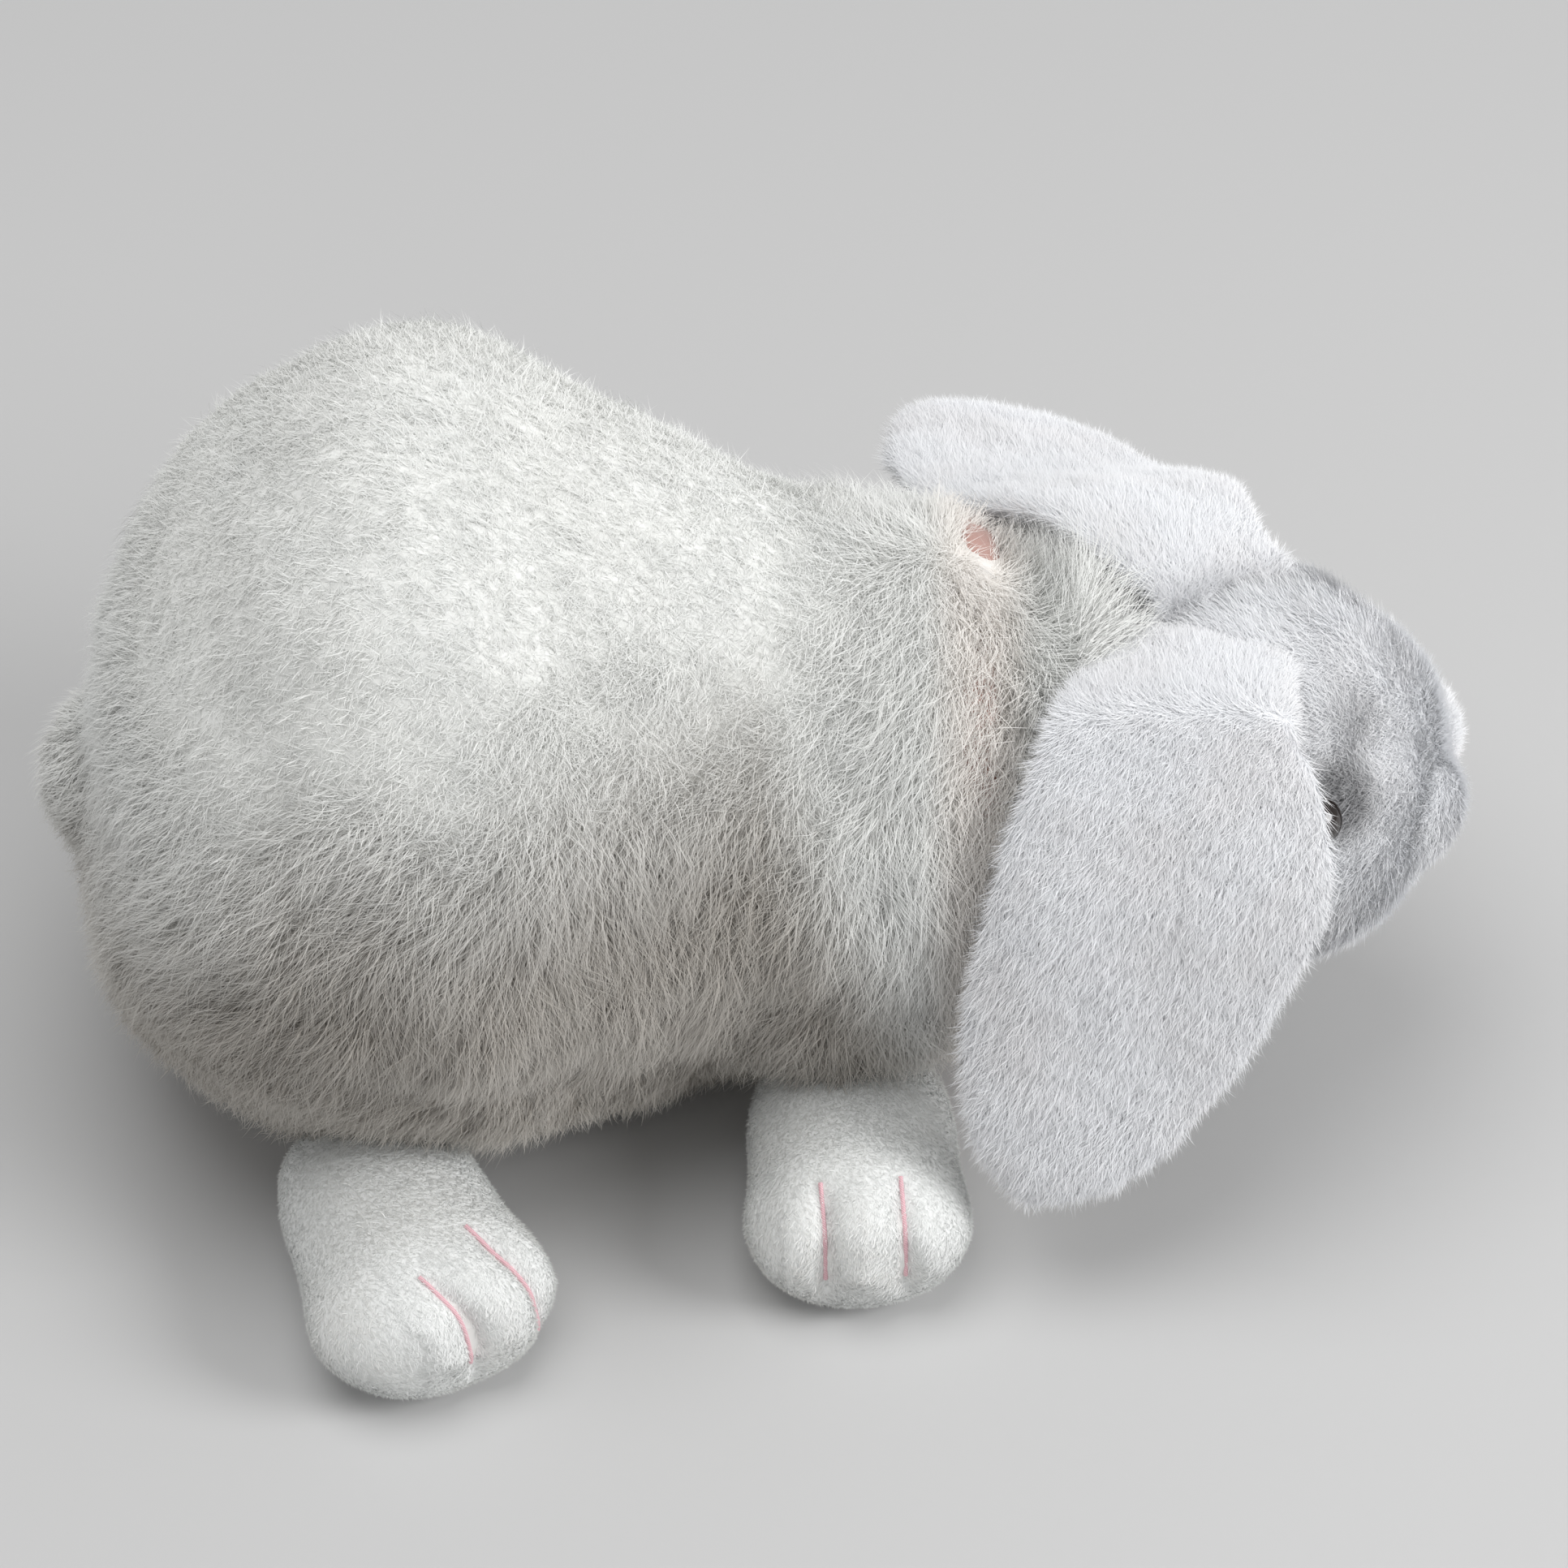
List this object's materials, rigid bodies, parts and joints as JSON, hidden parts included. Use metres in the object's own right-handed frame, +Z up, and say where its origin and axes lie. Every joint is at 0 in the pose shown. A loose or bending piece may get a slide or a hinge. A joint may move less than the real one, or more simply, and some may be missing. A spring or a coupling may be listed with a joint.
{
  "type": "plush rabbit",
  "caption": "Stuffed lop-eared rabbit lying on its belly with legs spread, long white pile on the body, short pile on head, ears and paws; head, ears, legs and tail turn.",
  "frame": {"origin": "on the floor, under the middle of the toy's box", "axes": "+X to the nose, +Y to the rabbit's left, +Z up"},
  "size_m": [0.2976, 0.229, 0.1798],
  "materials": {
    "long_pile": "long soft pile",
    "short_pile": "short dense pile",
    "paw_pile": "very short velvety pile",
    "stuffing": "loose fibre fill",
    "pink_thread": "satin thread",
    "coral_ribbon": "satin ribbon",
    "black_plastic": "gloss",
    "white_plastic": "matte"
  },
  "bodies": {
    "body": {"back_left_panel": "long_pile", "back_right_panel": "long_pile", "belly_panel": "long_pile", "body_stuffing": "stuffing", "neck_ribbon": "coral_ribbon"},
    "head": {"head_gusset": "short_pile", "left_cheek_panel": "short_pile", "right_cheek_panel": "short_pile", "head_stuffing": "stuffing", "muzzle": "short_pile", "nose": "pink_thread", "mouth_stitch": "pink_thread", "right_eye": "black_plastic", "left_eye": "black_plastic", "right_eye_washer": "white_plastic", "left_eye_washer": "white_plastic"},
    "right_ear": {"right_ear_back": "short_pile", "right_ear_lining": "short_pile"},
    "left_ear": {"left_ear_back": "short_pile", "left_ear_lining": "short_pile"},
    "tail": {"tail_cover": "long_pile", "tail_stuffing": "stuffing"},
    "right_front_leg": {"right_front_leg_upper": "paw_pile", "right_front_leg_sole": "paw_pile", "right_front_leg_stuffing": "stuffing", "right_front_leg_toe_stitch_rear": "pink_thread", "right_front_leg_toe_stitch_fore": "pink_thread"},
    "left_front_leg": {"left_front_leg_upper": "paw_pile", "left_front_leg_sole": "paw_pile", "left_front_leg_stuffing": "stuffing", "left_front_leg_toe_stitch_rear": "pink_thread", "left_front_leg_toe_stitch_fore": "pink_thread"},
    "right_hind_leg": {"right_hind_leg_upper": "paw_pile", "right_hind_leg_sole": "paw_pile", "right_hind_leg_stuffing": "stuffing", "right_hind_leg_toe_stitch_rear": "pink_thread", "right_hind_leg_toe_stitch_fore": "pink_thread"},
    "left_hind_leg": {"left_hind_leg_upper": "paw_pile", "left_hind_leg_sole": "paw_pile", "left_hind_leg_stuffing": "stuffing", "left_hind_leg_toe_stitch_rear": "pink_thread", "left_hind_leg_toe_stitch_fore": "pink_thread"}
  },
  "joints": [
    {"name": "head_nod", "type": "hinge", "parent": "body", "child": "head", "pos_m": [0.10325, 0, 0.082], "axis": [0, 1, 0], "range_deg": [0, 16], "stiffness_Nm_per_rad": 0.15},
    {"name": "right_ear_lift", "type": "hinge", "parent": "head", "child": "right_ear", "pos_m": [0.09424, -0.01459, 0.12608], "axis": [-0.891, 0.454, 0], "range_deg": [0, 70]},
    {"name": "left_ear_lift", "type": "hinge", "parent": "head", "child": "left_ear", "pos_m": [0.09424, 0.01459, 0.12608], "axis": [0.891, 0.454, 0], "range_deg": [0, 45]},
    {"name": "tail_wag", "type": "hinge", "parent": "body", "child": "tail", "pos_m": [-0.13275, 0, 0.08], "axis": [0, 0, 1], "range_deg": [-18, 18], "stiffness_Nm_per_rad": 0.01},
    {"name": "right_front_leg_lift", "type": "hinge", "parent": "body", "child": "right_front_leg", "pos_m": [0.01925, -0.03935, 0.0175], "axis": [-0.9986, -0.0523, 0], "range_deg": [-50, 6], "stiffness_Nm_per_rad": 0.02},
    {"name": "left_front_leg_lift", "type": "hinge", "parent": "body", "child": "left_front_leg", "pos_m": [0.01925, 0.03935, 0.0175], "axis": [0.9986, -0.0523, 0], "range_deg": [-50, 6], "stiffness_Nm_per_rad": 0.02},
    {"name": "right_hind_leg_lift", "type": "hinge", "parent": "body", "child": "right_hind_leg", "pos_m": [-0.08275, -0.06132, 0.0175], "axis": [-0.9272, -0.3746, 0], "range_deg": [-50, 6], "stiffness_Nm_per_rad": 0.02},
    {"name": "left_hind_leg_lift", "type": "hinge", "parent": "body", "child": "left_hind_leg", "pos_m": [-0.08275, 0.06132, 0.0175], "axis": [0.9272, -0.3746, 0], "range_deg": [-50, 6], "stiffness_Nm_per_rad": 0.02}
  ]
}
